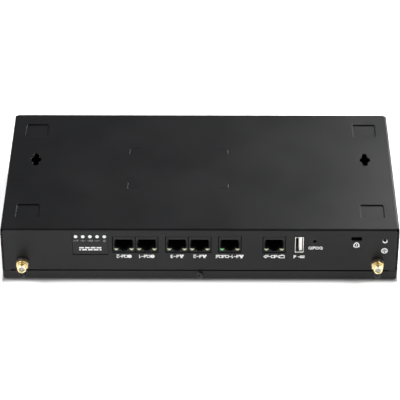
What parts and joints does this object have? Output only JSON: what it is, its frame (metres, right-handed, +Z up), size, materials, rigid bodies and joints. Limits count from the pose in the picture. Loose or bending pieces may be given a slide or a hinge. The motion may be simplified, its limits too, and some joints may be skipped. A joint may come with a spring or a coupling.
{
  "type": "firewall appliance",
  "caption": "Fanless desktop firewall in a black folded steel case, with network sockets, a serial bus port, a reset button, status lamps and screw-on antenna connectors on one face.",
  "frame": {"origin": "centre of the bottom plate's outer face, midway between the case's sides and between its port face and back", "axes": "+Z up through the lid, -Y out of the port face, +X to the right for someone facing the ports"},
  "size_m": [0.28, 0.1603, 0.044],
  "materials": {
    "case_paint": "satin black powder coat with a fine even grain",
    "black_screw": "black zinc, slightly glossy",
    "bright_nickel": "bright nickel plate",
    "plated_steel": "zinc plated steel",
    "gold": "thin gold plate over brass",
    "window_pane": "black tinted polycarbonate, satin",
    "light_pipe": "milky white acrylic",
    "lamp_green": "pale green diffused lens",
    "lamp_amber": "pale yellow-green diffused lens",
    "black_plastic": "black moulded nylon",
    "rocker_plastic": "smooth black moulded plastic",
    "white_plastic": "white moulded plastic",
    "board_mask": "green solder mask over glass laminate",
    "chip_body": "black epoxy moulding",
    "ferrite": "dark grey ferrite",
    "thermal_pad": "soft grey-blue silicone",
    "bare_aluminium": "extruded bare aluminium",
    "wire_jacket": "thin black insulation"
  },
  "bodies": {
    "case": {"antenna_barrel_left": "gold", "antenna_barrel_right": "gold", "antenna_flat_washers": "plated_steel", "antenna_insulators": "white_plastic", "antenna_lead_left": "wire_jacket", "antenna_lead_right": "wire_jacket", "antenna_lock_washers": "plated_steel", "antenna_nuts": "gold", "antenna_pins": "gold", "base_tray": "case_paint", "board_screws": "plated_steel", "board_spacers": "plated_steel", "capacitors": "bare_aluminium", "clock_battery": "plated_steel", "earth_insert": "bright_nickel", "heatsink": "bare_aluminium", "heatsink_pins": "black_plastic", "inlet_housing": "black_plastic", "inlet_pin": "bright_nickel", "jack_contacts_console": "gold", "jack_contacts_lan1": "gold", "jack_contacts_lan2": "gold", "jack_contacts_lan3": "gold", "jack_contacts_wan1": "gold", "jack_contacts_wan2": "gold", "jack_housing_console": "black_plastic", "jack_housing_lan1": "black_plastic", "jack_housing_lan2": "black_plastic", "jack_housing_lan3": "black_plastic", "jack_housing_wan1": "black_plastic", "jack_housing_wan2": "black_plastic", "jack_lamps_amber": "lamp_amber", "jack_lamps_green": "lamp_green", "lid_screws": "black_screw", "light_pipe": "light_pipe", "line_transformers": "chip_body", "main_board": "board_mask", "memory_chips": "chip_body", "network_chip": "chip_body", "power_coils": "ferrite", "processor": "chip_body", "radio_card": "board_mask", "radio_post": "plated_steel", "radio_shield": "plated_steel", "radio_socket": "black_plastic", "reset_case": "black_plastic", "status_lamps": "white_plastic", "status_window": "window_pane", "storage_chip": "chip_body", "switch_frame": "black_plastic", "switch_header": "white_plastic", "switch_tabs": "plated_steel", "switch_wires": "wire_jacket", "thermal_pad": "thermal_pad", "top_lid": "case_paint", "usb_contacts": "gold", "usb_shell": "bright_nickel", "usb_tongue": "white_plastic"},
    "reset_button": {"reset_plunger": "black_plastic"},
    "power_rocker": {"rocker": "rocker_plastic"}
  },
  "joints": [
    {"name": "reset_press", "type": "slide", "parent": "case", "child": "reset_button", "axis": [0, 1, 0], "range_m": [0, 0.0003], "stiffness_N_per_m": 2000},
    {"name": "rocker_tilt", "type": "hinge", "parent": "case", "child": "power_rocker", "pos_m": [0.058, 0.072, 0.02], "axis": [0, 0, 1], "range_deg": [0, 18]}
  ]
}
